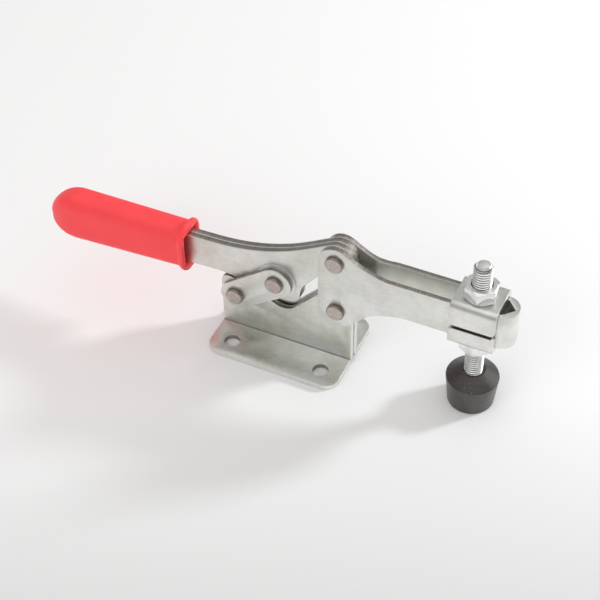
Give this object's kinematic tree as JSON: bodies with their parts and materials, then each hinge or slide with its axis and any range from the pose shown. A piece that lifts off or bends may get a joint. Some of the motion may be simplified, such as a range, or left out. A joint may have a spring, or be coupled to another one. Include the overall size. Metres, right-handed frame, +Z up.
{
  "type": "toggle clamp",
  "caption": "Horizontal toggle clamp with a flanged base, over-centre links, gripped handle and open arm with a height-adjustable rubber-capped spindle that slides along it.",
  "frame": {"origin": "centre of the four base holes, on the plane the base stands on", "axes": "+X along the arm from the base to the nose, +Y to the left side looking along +X, +Z up"},
  "size_m": [0.2167, 0.0444, 0.0774],
  "materials": {
    "steel_zinc": "bright zinc plate, satin, faint straw tint",
    "rivet_steel": "plated rivet steel, duller and browner than the sheet",
    "bolt_steel": "bright zinc plate on turned and threaded faces",
    "grip_vinyl": "dipped red vinyl, soft satin",
    "cap_rubber": "moulded black rubber, soft sheen"
  },
  "bodies": {
    "base": {"base_plate_right": "steel_zinc", "base_plate_left": "steel_zinc", "base_spacer_rear": "steel_zinc", "base_spacer_front": "steel_zinc", "base_link_rivet": "rivet_steel", "arm_base_rivet": "rivet_steel"},
    "links": {"link_right": "steel_zinc", "link_left": "steel_zinc", "link_handle_rivet": "rivet_steel", "link_washer_right": "steel_zinc", "link_washer_left": "steel_zinc"},
    "handle": {"handle_plate_right": "steel_zinc", "handle_plate_left": "steel_zinc", "handle_grip": "grip_vinyl"},
    "arm": {"clamp_arm": "steel_zinc", "handle_arm_rivet": "rivet_steel", "arm_washer_right": "steel_zinc", "arm_washer_left": "steel_zinc"},
    "saddles": {"upper_saddle": "steel_zinc", "lower_saddle": "steel_zinc"},
    "top_nut": {"top_nut": "bolt_steel"},
    "bottom_nut": {"bottom_nut": "bolt_steel"},
    "spindle": {"spindle_bolt": "bolt_steel", "rubber_cap": "cap_rubber"}
  },
  "joints": [
    {"name": "arm_lift", "type": "hinge", "parent": "base", "child": "arm", "pos_m": [0.0244, 0, 0.03165], "axis": [0, -1, 0], "range_deg": [0, 70]},
    {"name": "handle_swing", "type": "hinge", "parent": "arm", "child": "handle", "pos_m": [0.0237, 0, 0.05855], "axis": [0, 1, 0], "range_deg": [0, 112]},
    {"name": "link_swing", "type": "hinge", "parent": "base", "child": "links", "pos_m": [-0.0232, 0, 0.0219], "axis": [0, -1, 0], "range_deg": [0, 98]},
    {"name": "saddle_slide", "type": "slide", "parent": "arm", "child": "saddles", "axis": [1, 0, 0], "range_m": [-0.016, 0.0085]},
    {"name": "top_nut_turn", "type": "hinge", "parent": "saddles", "child": "top_nut", "pos_m": [0.0845, 0, 0.0638], "axis": [0, 0, -1], "range_deg": [-2160, 3240]},
    {"name": "bottom_nut_turn", "type": "hinge", "parent": "saddles", "child": "bottom_nut", "pos_m": [0.0845, 0, 0.0352], "axis": [0, 0, -1], "range_deg": [-2160, 3240]},
    {"name": "spindle_height", "type": "slide", "parent": "saddles", "child": "spindle", "axis": [0, 0, 1], "range_m": [-0.0075, 0.01125]}
  ],
  "couplings": [
    {"joint": "handle_swing", "follows": "arm_lift", "ratio": 1.6},
    {"joint": "link_swing", "follows": "arm_lift", "ratio": 1.4},
    {"joint": "top_nut_turn", "follows": "spindle_height", "rad_per_m": 5026.5},
    {"joint": "bottom_nut_turn", "follows": "spindle_height", "rad_per_m": 5026.5}
  ]
}
